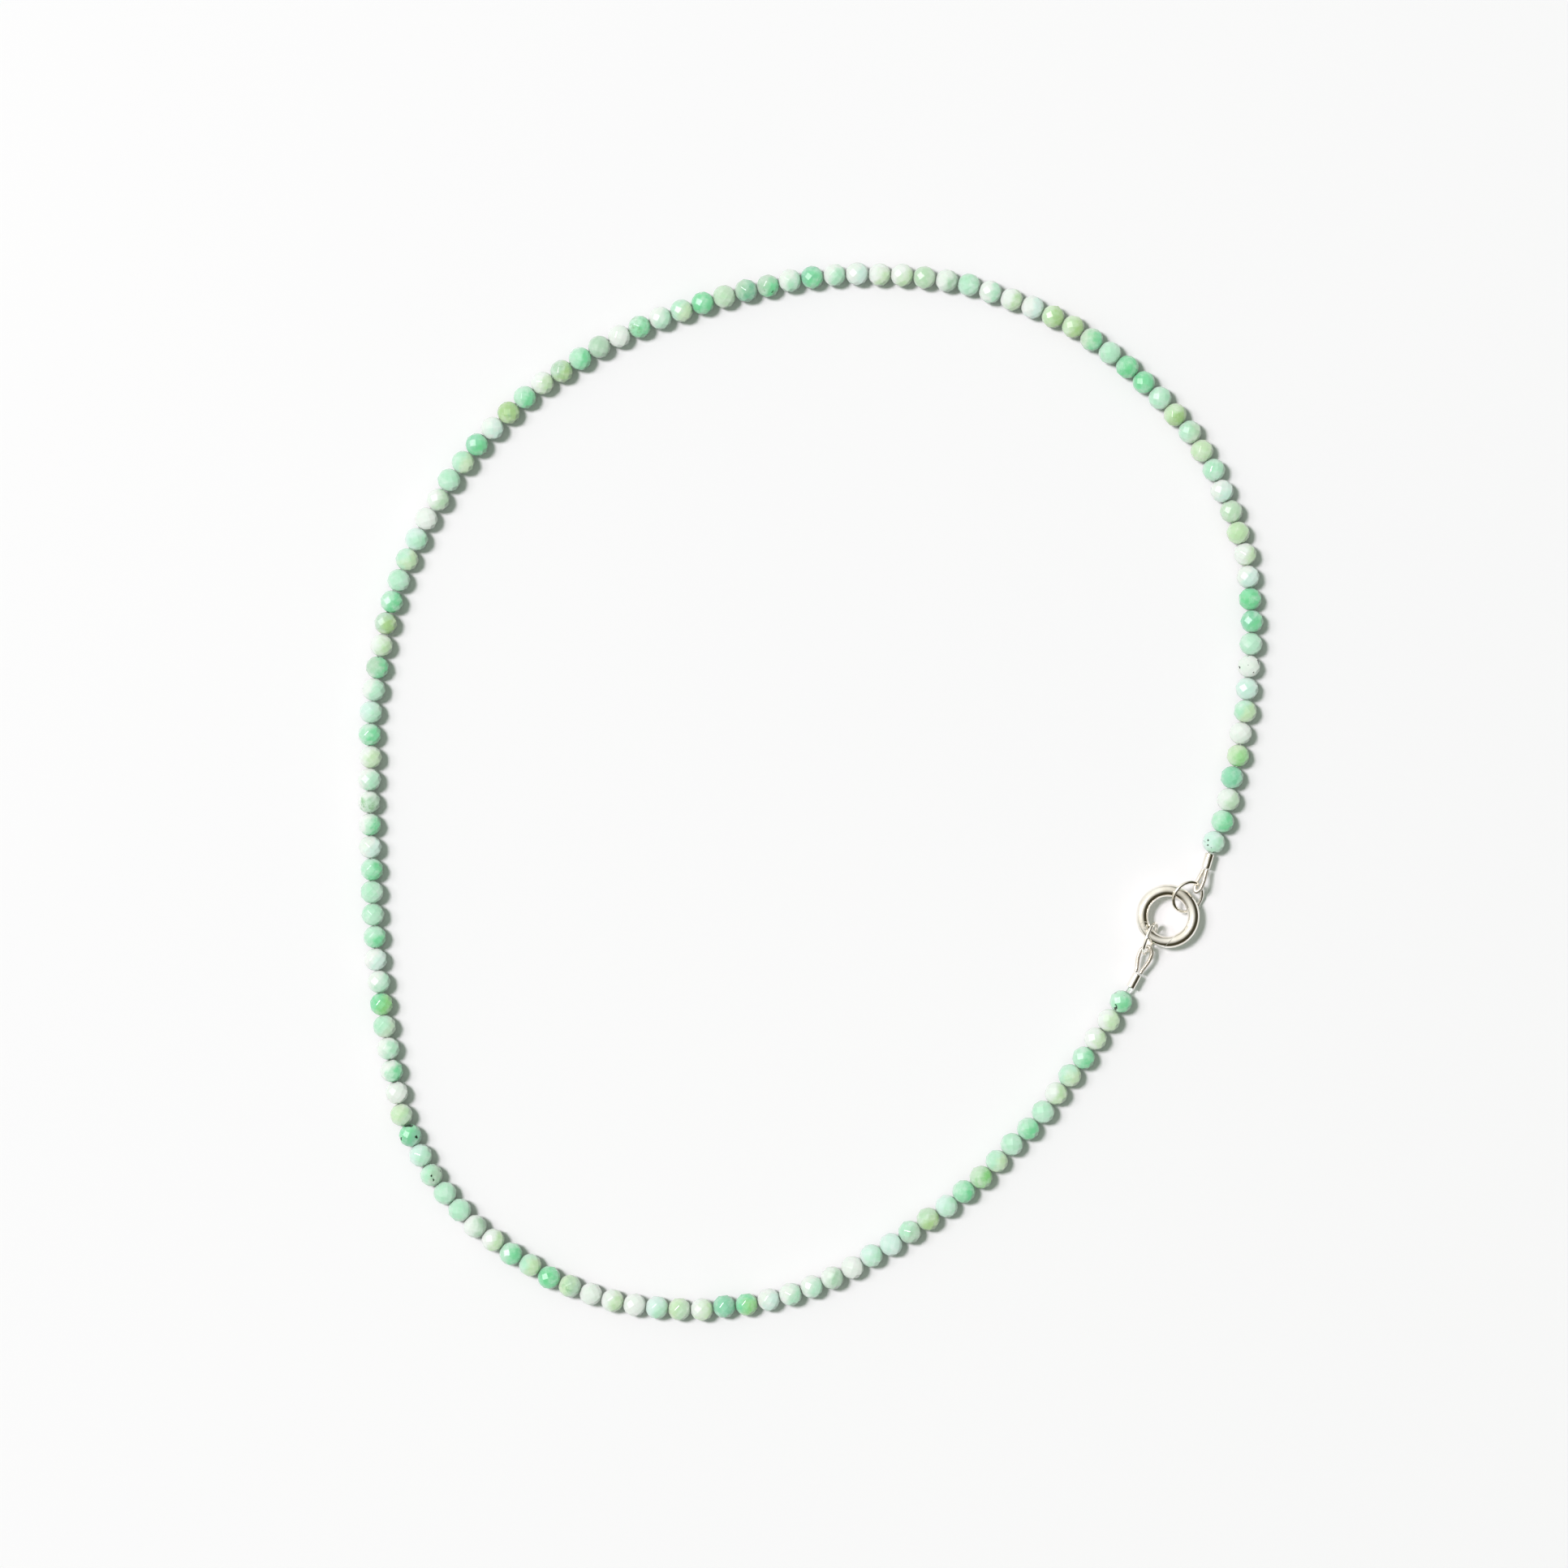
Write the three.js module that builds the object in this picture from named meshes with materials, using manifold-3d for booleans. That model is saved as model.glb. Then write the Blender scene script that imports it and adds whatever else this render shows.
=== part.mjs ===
// A bead necklace lying flat in an open loop: small faceted stone beads on one thread, closed by a round
// push-gate clasp through two jump rings. Millimetres, +Z up. The origin is on the surface below the middle
// of the loop, +Y runs the long way across it and the clasp is on the +X side.

import * as THREE from "three";
import { mergeVertices } from "three/addons/utils/BufferGeometryUtils.js";
import Module from "manifold-3d";

// Beads and thread
const BEAD_DIAMETER = 3.1; // over opposite corners of the cut
const BEAD_LENGTH = 2.92; // along the thread
const BEAD_SIDES = 8; // facets round the girdle of a bead
const DRILL_DIAMETER = 0.76; // hole through a bead
const BEAD_PLAY = 0.065; // free thread between two beads
const THREAD_DIAMETER = 0.45;
const STRAND_GAP = 0.1; // between the two halves of the string
const THREAD_IN_CRIMP = 1.0; // length of thread inside each crimp

// Crimps, with the free thread before each one and how far its axis turns from the string
const CRIMP_LENGTH = 2.0;
const CRIMP_DIAMETER = 1.2;
const CRIMP_BORE = 0.74;
const UPPER_LEAD = 0.12;
const UPPER_TURN = 2; // degrees
const LOWER_LEAD = 0.75;
const LOWER_TURN = 7; // degrees

// Clasp: a round tube ring with a hinged gate that opens inwards
const CLASP_DIAMETER = 8.45; // outside
const CLASP_TUBE = 1.6;
const GATE_TUBE = 1.48;
const HINGE_ANGLE = 207; // where the pin stands on the ring, degrees from +X
const KNUCKLE_DIAMETER = 1.56; // rounded ends of the gate's two cheeks and of the tongue between them
const TONGUE_THICKNESS = 0.56;
const PIN_DIAMETER = 0.4;
const CUT_OUTER_ANGLE = 263; // the slanting cut at the gate's free end, on the outside of the ring
const CUT_INNER_ANGLE = 294; // and on the inside
const HINGE_CLEARANCE = 0.07;

// Jump rings: the wire, the free width beside the clasp's tube, and how each ring lies
const JUMP_WIRE = 0.45;
const JUMP_ROOM = 2.24; // inside diameter less the clasp's tube
const UPPER_RING = {
  reach: 0.25, // its centre, out from the middle of the clasp's tube
  angle: 44, // round the clasp, in degrees
  heading: 46, // of its level axis
  highSide: 1, // the side that lies higher, 1 to the left of the heading
  tilt: 35,
  lift: 0.35, // its lowest point above the surface
};
const LOWER_RING = { reach: 0.36, angle: 231, heading: 250, highSide: -1, tilt: 74, lift: 0.03 };

// Loops of fine coil on the thread, from each crimp round its jump ring
const COIL_DIAMETER = 0.6;
const UPPER_LOOP_WIDTH = 1.2; // between the middles of its two legs
const LOWER_LOOP_WIDTH = 1.6;
const LOOP_SLACK = 0.95; // from the middle of the jump ring's wire to the middle of the bend
const LOOP_CLEARANCE = 0.2; // between the crimp and the ends of the coil
const LEG_SPACING = 0.66; // between the middles of the legs at the crimp
const LOWER_HANG = 20; // degrees that the lower loop has slid down round its ring

// Where the clasp's middle lies, from the upper end of the string
const CLASP_ASIDE = -5.65; // in X
const CLASP_BEYOND = -8.4; // in Y

// The loop as it lies, over the outermost points of its route
const LOOP_SPAN_X = 116.5;
const LOOP_SPAN_Y = 137;

// The string of beads from its upper crimp round to its lower one, as [x, y] in a loop of that size
const ROUTE = [
  [53.0, -8.0], [55.5, -0.5], [58.0, 14.5], [58.0, 29.0], [53.0, 43.5], [43.5, 55.0], [31.5, 63.5],
  [17.0, 68.0], [2.0, 68.5], [-12.5, 65.5], [-26.5, 60.0], [-39.0, 51.5], [-48.5, 40.5], [-55.0, 27.5],
  [-58.0, 13.0], [-58.5, -2.0], [-58.0, -17.0], [-56.5, -31.5], [-53.0, -46.0], [-44.5, -57.5],
  [-32.0, -65.5], [-17.5, -68.5], [-2.5, -66.5], [10.5, -60.0], [22.5, -51.0], [32.5, -40.0],
  [42.0, -26.5],
];
const ROUTE_SAMPLES = 4000; // steps in measuring its length

// Fineness of the round pieces
const TUBE_SIDES = 12;
const CLASP_STEPS = 40;
const WIRE_SIDES = 6;
const RING_STEPS = 16;
const COIL_SIDES = 8;
const COIL_STEPS = 26;
const KNUCKLE_SIDES = 24;

const UP = new THREE.Vector3(0, 0, 1);
const wasm = await Module();
wasm.setup();

// Finishes
const stone = () => new THREE.MeshStandardMaterial({ color: 0xa6d6b4, roughness: 0.22, metalness: 0 });
const silver = () => new THREE.MeshStandardMaterial({ color: 0xe6e2d6, roughness: 0.2, metalness: 1 });
const coilSilver = () => new THREE.MeshStandardMaterial({ color: 0xddd8c8, roughness: 0.35, metalness: 1 });

function meshOf(name, geometry, material) {
  const mesh = new THREE.Mesh(geometry, material);
  mesh.name = name;
  return mesh;
}

// A level unit vector at an angle in degrees from +X
function heading(degrees) {
  const turn = THREE.MathUtils.degToRad(degrees);
  return new THREE.Vector3(Math.cos(turn), Math.sin(turn), 0);
}

function circle(sides, radius) {
  const step = (2 * Math.PI) / sides;
  const corner = (_, i) => new THREE.Vector2(Math.cos(i * step), Math.sin(i * step)).multiplyScalar(radius);
  return Array.from({ length: sides }, corner);
}

// Joins and cuts
function solid(geometry) {
  const bare = geometry.clone();
  bare.deleteAttribute("normal");
  bare.deleteAttribute("uv");
  const merged = mergeVertices(bare);
  return new wasm.Manifold(new wasm.Mesh({
    numProp: 3,
    vertProperties: new Float32Array(merged.attributes.position.array),
    triVerts: new Uint32Array(merged.index.array),
  }));
}

function geometryOf(body) {
  const { vertProperties, triVerts } = body.getMesh();
  const geometry = new THREE.BufferGeometry();
  geometry.setAttribute("position", new THREE.BufferAttribute(vertProperties, 3));
  geometry.setIndex(new THREE.BufferAttribute(triVerts, 1));
  return geometry;
}

// The string of beads

// Corners of the cut, from the girdle towards one end, as radius and height on a unit sphere. Each next
// circle of corners is the one that keeps the facets flat.
function cutCircles(count) {
  const half = Math.PI / BEAD_SIDES;
  const circles = [new THREE.Vector2(1, 0), new THREE.Vector2(Math.cos(half), Math.sin(half))];
  while (circles.length < count) {
    const [before, last] = circles.slice(-2);
    const across = new THREE.Vector2(last.x * Math.cos(half), last.y).sub(before);
    const far = (-2 * before.dot(across)) / across.lengthSq();
    circles.push(before.clone().addScaledVector(across, far));
  }
  return circles;
}

// Points round an axis. The first is straight below it, or half a step on where the circle is staggered.
function ringOfPoints(centre, along, radius, staggered) {
  const side = new THREE.Vector3().crossVectors(UP, along).normalize();
  const up = new THREE.Vector3().crossVectors(along, side);
  const points = Array.from({ length: BEAD_SIDES }, (_, i) => {
    const turn = ((i + (staggered ? 0.5 : 0)) * 2 * Math.PI) / BEAD_SIDES;
    const out = side.clone().multiplyScalar(Math.sin(turn)).addScaledVector(up, -Math.cos(turn));
    return centre.clone().addScaledVector(out, radius);
  });
  return { points, staggered };
}

// A closed skin over circles that are staggered in turn, capped at both ends
function skin(rings) {
  const sides = BEAD_SIDES;
  const positions = rings.flatMap(({ points }) => points.flatMap((point) => point.toArray()));
  const faces = [];
  const corner = (ring, i) => ring * sides + (i % sides);
  for (let ring = 0; ring < rings.length - 1; ring++) {
    const shift = rings[ring].staggered ? 1 : 0;
    for (let i = 0; i < sides; i++) {
      faces.push(corner(ring, i), corner(ring, i + 1), corner(ring + 1, i + shift));
      faces.push(corner(ring + 1, i + 1), corner(ring + 1, i), corner(ring, i + 1 - shift));
    }
  }
  for (let i = 1; i < sides - 1; i++) {
    faces.push(corner(0, 0), corner(0, i + 1), corner(0, i));
    faces.push(corner(rings.length - 1, 0), corner(rings.length - 1, i), corner(rings.length - 1, i + 1));
  }
  const geometry = new THREE.BufferGeometry();
  geometry.setAttribute("position", new THREE.Float32BufferAttribute(positions, 3));
  geometry.setIndex(faces);
  return geometry;
}

// A bead lies on one of its girdle facets, so its middle is this high
const BEAD_HEIGHT = (BEAD_DIAMETER / 2) * Math.cos(Math.PI / BEAD_SIDES);

// How much longer the cut is along the thread than a round one that ends at the hole
const STRETCH_ALONG = BEAD_LENGTH / Math.sqrt(BEAD_DIAMETER ** 2 - DRILL_DIAMETER ** 2);

const drawn = new THREE.Box2().setFromPoints(ROUTE.map(([x, y]) => new THREE.Vector2(x, y)));
const stretch = new THREE.Vector2(LOOP_SPAN_X, LOOP_SPAN_Y).divide(drawn.getSize(new THREE.Vector2()));
const stops = ROUTE.map(([x, y]) => new THREE.Vector3(x * stretch.x, y * stretch.y, BEAD_HEIGHT));
const route = new THREE.CatmullRomCurve3(stops, false, "catmullrom", 0.5);
route.arcLengthDivisions = ROUTE_SAMPLES;
const routeLength = route.getLength();
const beadCount = 2 * Math.round(routeLength / (BEAD_LENGTH + BEAD_PLAY) / 2);
const pitch = routeLength / beadCount;

// Circles of one bead in order along the thread, the ones at even places staggered
function beadRings(index) {
  const share = (index + 0.5) / beadCount;
  const centre = route.getPointAt(share);
  const along = route.getTangentAt(share);
  const circles = cutCircles(3);
  return [-2, -1, 0, 1, 2].map((place) => {
    const { x: radius, y: height } = circles[Math.abs(place)].clone().multiplyScalar(BEAD_DIAMETER / 2);
    const middle = centre.clone().addScaledVector(along, Math.sign(place) * height * STRETCH_ALONG);
    return ringOfPoints(middle, along, radius, place % 2 === 0);
  });
}

// The bare thread where two beads meet
function neck(distance) {
  const share = THREE.MathUtils.clamp(distance / routeLength, 0, 1);
  return ringOfPoints(route.getPointAt(share), route.getTangentAt(share), THREAD_DIAMETER / 2, false);
}

function beadsWithNecks(first, last) {
  const rings = [];
  for (let index = first; index <= last; index++) {
    rings.push(...beadRings(index));
    if (index < last) rings.push(neck((index + 1) * pitch));
  }
  return rings;
}

// A crimp's place: where the thread enters it, and its axis, pointing away from the beads
function crimpPlace(end, outward, lead, turn) {
  const towards = (share) => outward.clone().applyAxisAngle(UP, THREE.MathUtils.degToRad(turn * share));
  const entry = end.clone().addScaledVector(towards(0.5), lead);
  const axis = towards(1);
  return { entry, axis, mouth: entry.clone().addScaledVector(axis, CRIMP_LENGTH) };
}

const upperCrimp = crimpPlace(route.getPointAt(0), route.getTangentAt(0).negate(), UPPER_LEAD, UPPER_TURN);
const lowerCrimp = crimpPlace(route.getPointAt(1), route.getTangentAt(1), LOWER_LEAD, LOWER_TURN);

// The thread's end in a crimp, from the tip to the crimp's entry, with its rings facing along the string
function threadEnd({ entry, axis }, along) {
  const tip = entry.clone().addScaledVector(axis, THREAD_IN_CRIMP);
  const radius = THREAD_DIAMETER / 2;
  return [ringOfPoints(tip, along, radius, false), ringOfPoints(entry, along, radius, true)];
}

const middle = beadCount / 2;
const upperString = meshOf("bead_strand_upper", skin([
  ...threadEnd(upperCrimp, upperCrimp.axis.clone().negate()), neck(0), ...beadsWithNecks(0, middle - 1),
  neck(middle * pitch - STRAND_GAP / 2),
]), stone());
const lowerString = meshOf("bead_strand_lower", skin([
  neck(middle * pitch + STRAND_GAP / 2), ...beadsWithNecks(middle, beadCount - 1),
  neck(routeLength), ...threadEnd(lowerCrimp, lowerCrimp.axis).reverse(),
]), stone());

// Crimps, each a short tube round the thread's end
function crimp(name, { entry, axis }) {
  const section = [
    [CRIMP_BORE / 2, 0], [CRIMP_DIAMETER / 2, 0], [CRIMP_DIAMETER / 2, CRIMP_LENGTH],
    [CRIMP_BORE / 2, CRIMP_LENGTH], [CRIMP_BORE / 2, 0],
  ].map(([radius, height]) => new THREE.Vector2(radius, height));
  const mesh = meshOf(name, new THREE.LatheGeometry(section, TUBE_SIDES), silver());
  mesh.position.copy(entry);
  mesh.quaternion.setFromUnitVectors(new THREE.Vector3(0, 1, 0), axis);
  return mesh;
}

// The clasp, modelled round its own middle
const claspRadius = (CLASP_DIAMETER - CLASP_TUBE) / 2;
const hinge = heading(HINGE_ANGLE).multiplyScalar(claspRadius);

function tubeRing(tube) {
  return solid(new THREE.TorusGeometry(claspRadius, tube / 2, TUBE_SIDES, CLASP_STEPS));
}

// An upright cylinder round the hinge's axis
function hingeCylinder(diameter, height, sides) {
  const geometry = new THREE.CylinderGeometry(diameter / 2, diameter / 2, height, sides);
  return solid(geometry.rotateX(Math.PI / 2).translate(hinge.x, hinge.y, 0));
}

// The stretch of the ring that the gate fills, from the hinge to the slanting cut, drawn back by a gap
function gateZone(gap) {
  const inner = heading(CUT_INNER_ANGLE).multiplyScalar(claspRadius - CLASP_TUBE / 2);
  const outer = heading(CUT_OUTER_ANGLE).multiplyScalar(claspRadius + CLASP_TUBE / 2);
  const slant = new THREE.Vector3().subVectors(outer, inner).normalize();
  const back = new THREE.Vector3().crossVectors(slant, UP).multiplyScalar(gap);
  const beyond = (HINGE_ANGLE + CUT_OUTER_ANGLE) / 2;
  const corners = [
    heading(HINGE_ANGLE).multiplyScalar(claspRadius - CLASP_TUBE),
    inner.addScaledVector(slant, -CLASP_TUBE / 4).add(back),
    outer.addScaledVector(slant, CLASP_TUBE).add(back),
    heading(beyond).multiplyScalar(CLASP_DIAMETER),
    heading(HINGE_ANGLE).multiplyScalar(CLASP_DIAMETER),
  ];
  const outline = new THREE.Shape(corners.map(({ x, y }) => new THREE.Vector2(x, y)));
  const depth = 2 * CLASP_TUBE;
  const slab = new THREE.ExtrudeGeometry(outline, { depth, bevelEnabled: false });
  return solid(slab.translate(0, 0, -depth / 2));
}

function pinBore() {
  return hingeCylinder(PIN_DIAMETER + 2 * HINGE_CLEARANCE, 2 * CLASP_TUBE, TUBE_SIDES);
}

// The fixed ring, open where the gate goes, with a flat tongue that the gate's cheeks clasp
function claspRing() {
  const tube = tubeRing(CLASP_TUBE);
  const knuckleSpace = hingeCylinder(KNUCKLE_DIAMETER + 2 * HINGE_CLEARANCE, 2 * CLASP_TUBE, KNUCKLE_SIDES);
  const tongueDisc = hingeCylinder(KNUCKLE_DIAMETER, TONGUE_THICKNESS, KNUCKLE_SIDES);
  const tongueSlab = hingeCylinder(2 * KNUCKLE_DIAMETER, TONGUE_THICKNESS, KNUCKLE_SIDES);
  const tongue = tube.intersect(tongueSlab).subtract(gateZone(0).subtract(tongueDisc));
  const ring = tube.subtract(gateZone(0)).subtract(knuckleSpace).add(tongue).subtract(pinBore());
  return meshOf("clasp_ring", geometryOf(ring), silver());
}

// The gate, slimmer than the ring, with a slot between its cheeks for the tongue
function claspGate() {
  const tube = tubeRing(GATE_TUBE);
  const knuckle = hingeCylinder(KNUCKLE_DIAMETER, 2 * CLASP_TUBE, KNUCKLE_SIDES);
  const slot = hingeCylinder(
    KNUCKLE_DIAMETER + 2 * HINGE_CLEARANCE, TONGUE_THICKNESS + 2 * HINGE_CLEARANCE, KNUCKLE_SIDES,
  );
  const gate = tube.intersect(gateZone(HINGE_CLEARANCE).add(knuckle)).subtract(slot).subtract(pinBore());
  return meshOf("clasp_gate", geometryOf(gate), silver());
}

function hingePin() {
  const cheek = Math.sqrt(GATE_TUBE ** 2 - PIN_DIAMETER ** 2);
  const pin = new THREE.CylinderGeometry(PIN_DIAMETER / 2, PIN_DIAMETER / 2, cheek, TUBE_SIDES);
  const mesh = meshOf("hinge_pin", pin.rotateX(Math.PI / 2), silver());
  mesh.position.copy(hinge);
  return mesh;
}

// Jump rings
const ringRadius = (CLASP_TUBE + JUMP_ROOM + JUMP_WIRE) / 2;
const ringHeight = ({ tilt, lift }) =>
  ringRadius * Math.sin(THREE.MathUtils.degToRad(tilt)) + JUMP_WIRE / 2 + lift;
const claspCentre = stops[0].clone().setZ(ringHeight(UPPER_RING));
claspCentre.x += CLASP_ASIDE;
claspCentre.y += CLASP_BEYOND;

// The ring's middle, its level axis and the axis that rises towards its high side
function jumpPlace(ring) {
  const centre = heading(ring.angle).multiplyScalar(claspRadius + ring.reach).add(claspCentre);
  centre.z = ringHeight(ring);
  const level = heading(ring.heading);
  const tilt = THREE.MathUtils.degToRad(ring.tilt);
  const rising = heading(ring.heading + 90 * ring.highSide).multiplyScalar(Math.cos(tilt));
  rising.addScaledVector(UP, Math.sin(tilt));
  return { centre, level, rising };
}

function jumpRing(name, { centre, level, rising }) {
  const wire = new THREE.TorusGeometry(ringRadius, JUMP_WIRE / 2, WIRE_SIDES, RING_STEPS);
  const mesh = meshOf(name, wire, silver());
  const normal = new THREE.Vector3().crossVectors(level, rising);
  mesh.quaternion.setFromRotationMatrix(new THREE.Matrix4().makeBasis(level, rising, normal));
  mesh.position.copy(centre);
  return mesh;
}

// One leg of a thread loop, from the crimp to the bend: share of the length, share of the spread
const LOOP_LEG = [[0, 0], [0.12, 0.06], [0.35, 0.62], [0.62, 1], [0.87, 0.68]];

// A loop of coil from a crimp's mouth round the wire at one point, as wide as given across that direction
function threadLoop(name, { mouth, axis }, wire, across, width) {
  const start = mouth.clone().addScaledVector(axis, LOOP_CLEARANCE);
  const reach = wire.clone().sub(start);
  const length = reach.length() + LOOP_SLACK;
  const forward = reach.normalize();
  const sideways = across.clone().addScaledVector(forward, -across.dot(forward)).normalize();
  const spread = (width - LEG_SPACING) / 2;
  const leg = LOOP_LEG.map(([share, part]) => [share, LEG_SPACING / 2 + part * spread]);
  const outline = [...leg, [1, 0], ...leg.map(([share, out]) => [share, -out]).reverse()];
  const path = new THREE.CatmullRomCurve3(outline.map(([share, out]) =>
    start.clone().addScaledVector(forward, share * length).addScaledVector(sideways, out)));
  const section = new THREE.Shape(circle(COIL_SIDES, COIL_DIAMETER / 2));
  const options = { extrudePath: path, steps: COIL_STEPS, bevelEnabled: false };
  return meshOf(name, new THREE.ExtrudeGeometry(section, options), coilSilver());
}

// The wire's middle at an angle round the jump ring, from its outer end towards its high side
function onRing({ centre, level, rising }, degrees) {
  const turn = THREE.MathUtils.degToRad(degrees);
  return centre.clone()
    .addScaledVector(level, ringRadius * Math.cos(turn))
    .addScaledVector(rising, ringRadius * Math.sin(turn));
}

const upperJump = jumpPlace(UPPER_RING);
const lowerJump = jumpPlace(LOWER_RING);

const clasp = new THREE.Group();
clasp.add(claspRing(), claspGate(), hingePin());
clasp.position.copy(claspCentre);

// The upper loop opens square to the wire that it goes round, the lower one level
const square = new THREE.Vector3().crossVectors(upperJump.rising, upperCrimp.axis);
const level = new THREE.Vector3().crossVectors(UP, lowerCrimp.axis);
const necklace = new THREE.Group();
necklace.add(
  upperString, lowerString,
  crimp("crimp_upper", upperCrimp), crimp("crimp_lower", lowerCrimp),
  threadLoop("thread_loop_upper", upperCrimp, onRing(upperJump, 0), square, UPPER_LOOP_WIDTH),
  threadLoop("thread_loop_lower", lowerCrimp, onRing(lowerJump, -LOWER_HANG), level, LOWER_LOOP_WIDTH),
  jumpRing("jump_ring_upper", upperJump), jumpRing("jump_ring_lower", lowerJump),
  clasp,
);

// The origin goes to the middle of the necklace, on the surface below it
const extent = new THREE.Box3().setFromObject(necklace, true);
const foot = extent.getCenter(new THREE.Vector3()).setZ(extent.min.z);
necklace.position.sub(foot);

export default necklace;
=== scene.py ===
"""The looks of a bead necklace that lies flat in an open loop. Metres, +Z up, in the CAD model's frame."""

import math
import random

import bpy
import numpy as np
from mathutils import Matrix, Vector


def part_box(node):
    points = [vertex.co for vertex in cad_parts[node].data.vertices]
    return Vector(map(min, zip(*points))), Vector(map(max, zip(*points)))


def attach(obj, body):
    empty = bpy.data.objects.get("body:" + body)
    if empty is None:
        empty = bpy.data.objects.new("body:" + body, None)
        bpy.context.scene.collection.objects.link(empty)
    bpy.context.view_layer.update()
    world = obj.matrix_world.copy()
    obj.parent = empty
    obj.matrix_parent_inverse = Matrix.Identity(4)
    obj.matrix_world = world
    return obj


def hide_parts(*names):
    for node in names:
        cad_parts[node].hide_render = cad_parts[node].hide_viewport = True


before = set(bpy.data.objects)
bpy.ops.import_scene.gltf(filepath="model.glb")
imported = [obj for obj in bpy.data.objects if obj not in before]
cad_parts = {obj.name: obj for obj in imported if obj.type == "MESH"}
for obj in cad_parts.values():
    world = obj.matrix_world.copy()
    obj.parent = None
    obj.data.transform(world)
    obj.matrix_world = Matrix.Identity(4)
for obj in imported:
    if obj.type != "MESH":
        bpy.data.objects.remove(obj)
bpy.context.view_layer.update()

MM = 0.001

# Sizes of the CAD model, in metres and degrees
BEAD_DIAMETER = 3.1 * MM
BEAD_LENGTH = 2.92 * MM
BEAD_SIDES = 8
DRILL_DIAMETER = 0.76 * MM
BEAD_PLAY = 0.065 * MM
THREAD_DIAMETER = 0.45 * MM
THREAD_IN_CRIMP = 1.0 * MM
CRIMP_LENGTH = 2.0 * MM
CRIMP_DIAMETER = 1.2 * MM
CRIMP_BORE = 0.74 * MM
UPPER_LEAD = 0.12 * MM
UPPER_TURN = 2
LOWER_LEAD = 0.75 * MM
LOWER_TURN = 7
CLASP_DIAMETER = 8.45 * MM
CLASP_TUBE = 1.6 * MM
GATE_TUBE = 1.48 * MM
HINGE_ANGLE = 207
KNUCKLE_DIAMETER = 1.56 * MM
TONGUE_THICKNESS = 0.56 * MM
PIN_DIAMETER = 0.4 * MM
CUT_OUTER_ANGLE = 263
CUT_INNER_ANGLE = 294
HINGE_CLEARANCE = 0.07 * MM
JUMP_WIRE = 0.45 * MM
JUMP_ROOM = 2.24 * MM
UPPER_RING = dict(reach=0.25 * MM, angle=44, heading=46, high_side=1, tilt=35, lift=0.35 * MM)
LOWER_RING = dict(reach=0.36 * MM, angle=231, heading=250, high_side=-1, tilt=74, lift=0.03 * MM)
COIL_DIAMETER = 0.6 * MM
UPPER_LOOP_WIDTH = 1.2 * MM
LOWER_LOOP_WIDTH = 1.6 * MM
LOOP_SLACK = 0.95 * MM
LOOP_CLEARANCE = 0.2 * MM
LEG_SPACING = 0.66 * MM
LOWER_HANG = 20
CLASP_ASIDE = -5.65 * MM
CLASP_BEYOND = -8.4 * MM

# The string's route, from the upper crimp round to the lower one
ROUTE = [Vector((x * MM, y * MM)) for x, y in (
    (53.0, -8.0), (55.5, -0.5), (58.0, 14.5), (58.0, 29.0), (53.0, 43.5), (43.5, 55.0), (31.5, 63.5),
    (17.0, 68.0), (2.0, 68.5), (-12.5, 65.5), (-26.5, 60.0), (-39.0, 51.5), (-48.5, 40.5), (-55.0, 27.5),
    (-58.0, 13.0), (-58.5, -2.0), (-58.0, -17.0), (-56.5, -31.5), (-53.0, -46.0), (-44.5, -57.5),
    (-32.0, -65.5), (-17.5, -68.5), (-2.5, -66.5), (10.5, -60.0), (22.5, -51.0), (32.5, -40.0),
    (42.0, -26.5),
)]

UP = Vector((0, 0, 1))
clasp_radius = (CLASP_DIAMETER - CLASP_TUBE) / 2
ring_radius = (CLASP_TUBE + JUMP_ROOM + JUMP_WIRE) / 2


def ring_height(ring):
    return ring_radius * math.sin(math.radians(ring["tilt"])) + JUMP_WIRE / 2 + ring["lift"]


# The CAD model is centred on its box, so the clasp's box says how far the route is moved
clasp_centre = (ROUTE[0] + Vector((CLASP_ASIDE, CLASP_BEYOND))).to_3d()
corner = Vector(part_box("clasp_ring")[1])
SHIFT = (corner - clasp_centre - Vector((CLASP_DIAMETER / 2, CLASP_DIAMETER / 2, 0))).to_2d().to_3d()
clasp_centre = clasp_centre + SHIFT + UP * ring_height(UPPER_RING)


def heading(degrees):
    return Vector((math.cos(math.radians(degrees)), math.sin(math.radians(degrees)), 0))


# Camera, straight above the loop
CAMERA_HEIGHT = 800 * MM
VIEW_WIDTH = 208.04 * MM
VIEW_CENTRE = (-3.543 * MM, 1.020 * MM)
bead_height = BEAD_DIAMETER / 2 * math.cos(math.pi / BEAD_SIDES)
camera_data = bpy.data.cameras.new("camera")
camera_data.sensor_width = 36
camera_data.lens = camera_data.sensor_width * CAMERA_HEIGHT / VIEW_WIDTH
camera_data.clip_start = 0.01
camera_data.clip_end = 20
camera = bpy.data.objects.new("camera", camera_data)
camera.location = (*VIEW_CENTRE, CAMERA_HEIGHT + bead_height)
bpy.context.collection.objects.link(camera)
bpy.context.scene.camera = camera
bpy.context.scene.view_settings.view_transform = "Standard"


# Materials

def srgb(code):
    """A hexadecimal sRGB colour as linear red, green and blue."""
    parts = [(code >> s & 255) / 255 for s in (16, 8, 0)]
    return tuple(p / 12.92 if p <= 0.04045 else ((p + 0.055) / 1.055) ** 2.4 for p in parts)


def material(name):
    mat = bpy.data.materials.new(name)
    mat.use_nodes = True
    nodes = mat.node_tree.nodes
    return mat, nodes, mat.node_tree.links, nodes["Principled BSDF"]


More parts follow.
